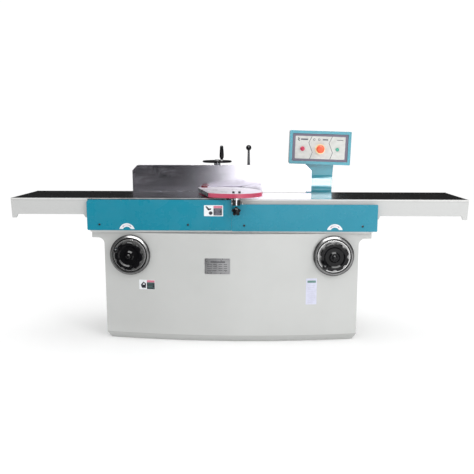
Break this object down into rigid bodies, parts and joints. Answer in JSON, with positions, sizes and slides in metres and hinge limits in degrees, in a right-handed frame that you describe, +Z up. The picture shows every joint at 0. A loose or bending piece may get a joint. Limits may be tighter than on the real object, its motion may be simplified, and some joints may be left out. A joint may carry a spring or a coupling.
{
  "type": "surface planer",
  "caption": "Long-bed surface planer: ground tables on inclined ways, cutterhead, tilting fence, swing guard, handwheels and panel on an arm.",
  "frame": {"origin": "centre of the overall footprint, on the floor", "axes": "+X to the operator's right along the tables, +Y to the back, +Z up"},
  "size_m": [2.5, 0.91, 1.1697],
  "materials": {
    "cabinet_paint": "satin light grey paint",
    "bed_paint": "satin off-white paint",
    "apron_paint": "gloss teal paint",
    "arm_paint": "gloss teal paint",
    "plate_paint": "dark satin paint",
    "table_iron": "ground top, painted sides",
    "fence_steel": "ground",
    "cast_grey": "painted grey casting",
    "bright_steel": "polished",
    "tool_steel": "machined",
    "gear_steel": "machined and oiled",
    "bush_bronze": "bronze",
    "black_handle": "gloss black",
    "belt_rubber": "matt",
    "motor_paint": "satin blue-grey paint",
    "sheet_zinc": "zinc plated sheet",
    "guard_paint": "pale top, crimson edge",
    "bolt_black": "blackened steel",
    "stop_red": "gloss",
    "start_green": "gloss",
    "lamp_red": "translucent lens",
    "gland_plastic": "matt black"
  },
  "bodies": {
    "root": {"cabinet_front": "cabinet_paint", "cabinet_side_left": "cabinet_paint", "cabinet_side_right": "cabinet_paint", "cabinet_rear": "cabinet_paint", "cabinet_top_plate": "cabinet_paint", "cabinet_floor": "cabinet_paint", "service_cover": "cabinet_paint", "cover_screws": "bolt_black", "cable_gland": "gland_plastic", "bed_frame": "bed_paint", "apron_left": "apron_paint", "apron_right": "apron_paint", "bearing_housings": "cast_grey", "cutter_bearings": "bright_steel", "dust_chute": "sheet_zinc", "motor_frame": "motor_paint", "motor_mount": "cabinet_paint", "drive_belts": "belt_rubber", "belt_guard": "bed_paint", "handwheel_mount_left": "cast_grey", "handwheel_mount_right": "cast_grey", "gear_bracket_left": "cast_grey", "gear_bracket_right": "cast_grey", "shaft_bushes": "bush_bronze", "fence_bracket": "cast_grey", "guard_bracket": "bolt_black", "panel_column": "arm_paint", "control_box": "arm_paint", "control_plate": "plate_paint", "power_lamp": "lamp_red"},
    "cutter": {"cutterhead_drum": "tool_steel", "cutter_knives": "bright_steel", "knife_wedges": "tool_steel", "cutter_pulley": "cast_grey"},
    "rotor": {"motor_rotor": "gear_steel", "motor_pulley": "cast_grey"},
    "outfeed": {"outfeed_table": "table_iron", "outfeed_rack": "gear_steel"},
    "infeed": {"infeed_table": "table_iron", "infeed_rack": "gear_steel"},
    "wheel_left": {"handwheel_left": "black_handle", "wheel_shaft_left": "bright_steel"},
    "wheel_right": {"handwheel_right": "black_handle", "wheel_shaft_right": "bright_steel"},
    "crank_left": {"crank_handle_left": "black_handle"},
    "crank_right": {"crank_handle_right": "black_handle"},
    "lay_left": {"lay_gear_left": "gear_steel"},
    "lay_right": {"lay_gear_right": "gear_steel"},
    "fence_carriage": {"fence_ram": "tool_steel"},
    "fence": {"fence_plate": "fence_steel"},
    "fence_wheel": {"fence_handwheel": "bright_steel"},
    "fence_grip": {"fence_wheel_handle": "black_handle"},
    "lock_lever": {"fence_lock_lever": "bright_steel"},
    "guard_pivot": {"guard_post": "bright_steel"},
    "guard": {"guard_plate": "guard_paint", "guard_arm": "cast_grey", "guard_bolts": "bolt_black"},
    "clamp_knob": {"guard_knob": "black_handle"},
    "stop": {"estop_button": "stop_red"},
    "start": {"start_button": "start_green"}
  },
  "joints": [
    {"name": "cutter_spin", "type": "hinge", "parent": "root", "child": "cutter", "pos_m": [-0.032, -0.095, 0.75], "axis": [0, 1, 0], "continuous": true},
    {"name": "motor_spin", "type": "hinge", "parent": "root", "child": "rotor", "pos_m": [-0.032, -0.005, 0.22], "axis": [0, 1, 0], "continuous": true},
    {"name": "outfeed_slide", "type": "slide", "parent": "root", "child": "outfeed", "axis": [-0.9659, 0, -0.2588], "range_m": [-0.0015, 0.0155]},
    {"name": "infeed_slide", "type": "slide", "parent": "root", "child": "infeed", "axis": [0.9659, 0, -0.2588], "range_m": [-0.0154, 0.0154]},
    {"name": "handwheel_left_turn", "type": "hinge", "parent": "root", "child": "wheel_left", "pos_m": [-0.59, -0.365, 0.489], "axis": [0, -1, 0], "range_deg": [-200, 22]},
    {"name": "lay_gear_left_turn", "type": "hinge", "parent": "root", "child": "lay_left", "pos_m": [-0.59, -0.255, 0.543], "axis": [0, -1, 0], "range_deg": [-8, 68]},
    {"name": "crank_left_spin", "type": "hinge", "parent": "wheel_left", "child": "crank_left", "pos_m": [-0.64478, -0.405, 0.53258], "axis": [0, -1, 0], "continuous": true},
    {"name": "handwheel_right_turn", "type": "hinge", "parent": "root", "child": "wheel_right", "pos_m": [0.528, -0.365, 0.489], "axis": [0, -1, 0], "range_deg": [-200, 200]},
    {"name": "lay_gear_right_turn", "type": "hinge", "parent": "root", "child": "lay_right", "pos_m": [0.528, -0.255, 0.543], "axis": [0, -1, 0], "range_deg": [-68, 68]},
    {"name": "crank_right_spin", "type": "hinge", "parent": "wheel_right", "child": "crank_right", "pos_m": [0.47115, -0.405, 0.44815], "axis": [0, -1, 0], "continuous": true},
    {"name": "fence_slide", "type": "slide", "parent": "root", "child": "fence_carriage", "axis": [0, -1, 0], "range_m": [0, 0.2]},
    {"name": "fence_wheel_turn", "type": "hinge", "parent": "root", "child": "fence_wheel", "pos_m": [-0.143, 0.25, 0.975], "axis": [0, 0, 1], "range_deg": [-480, 0]},
    {"name": "fence_grip_spin", "type": "hinge", "parent": "fence_wheel", "child": "fence_grip", "pos_m": [-0.11088, 0.18112, 1.03], "axis": [0, 0, 1], "continuous": true},
    {"name": "fence_tilt", "type": "hinge", "parent": "fence_carriage", "child": "fence", "pos_m": [0, 0.119, 0.814], "axis": [-1, 0, 0], "range_deg": [0, 45]},
    {"name": "fence_lock", "type": "hinge", "parent": "root", "child": "lock_lever", "pos_m": [0.055, 0.25, 0.885], "axis": [1, 0, 0], "range_deg": [-60, 0]},
    {"name": "guard_post_turn", "type": "hinge", "parent": "root", "child": "guard_pivot", "pos_m": [-0.003, -0.343, 0.78], "axis": [0, 0, 1], "range_deg": [0, 61]},
    {"name": "guard_swing", "type": "hinge", "parent": "guard_pivot", "child": "guard", "pos_m": [-0.003, -0.343, 0.815], "axis": [0, 0, 1], "range_deg": [0, 55], "stiffness_Nm_per_rad": 1.5, "springref_deg": -17.19},
    {"name": "guard_knob_turn", "type": "hinge", "parent": "root", "child": "clamp_knob", "pos_m": [-0.003, -0.375, 0.738], "axis": [0, -1, 0], "range_deg": [0, 360]},
    {"name": "estop_press", "type": "slide", "parent": "root", "child": "stop", "axis": [0, 1, 0], "range_m": [0, 0.006], "stiffness_N_per_m": 900},
    {"name": "start_press", "type": "slide", "parent": "root", "child": "start", "axis": [0, 1, 0], "range_m": [0, 0.003], "stiffness_N_per_m": 400}
  ],
  "couplings": [
    {"joint": "motor_spin", "follows": "cutter_spin", "ratio": 0.66},
    {"joint": "handwheel_left_turn", "follows": "outfeed_slide", "rad_per_m": -222.22},
    {"joint": "lay_gear_left_turn", "follows": "outfeed_slide", "rad_per_m": 74.074},
    {"joint": "handwheel_right_turn", "follows": "infeed_slide", "rad_per_m": 222.22},
    {"joint": "lay_gear_right_turn", "follows": "infeed_slide", "rad_per_m": -74.074},
    {"joint": "fence_wheel_turn", "follows": "fence_slide", "rad_per_m": -41.667},
    {"joint": "guard_post_turn", "follows": "fence_slide", "rad_per_m": 5.236}
  ]
}
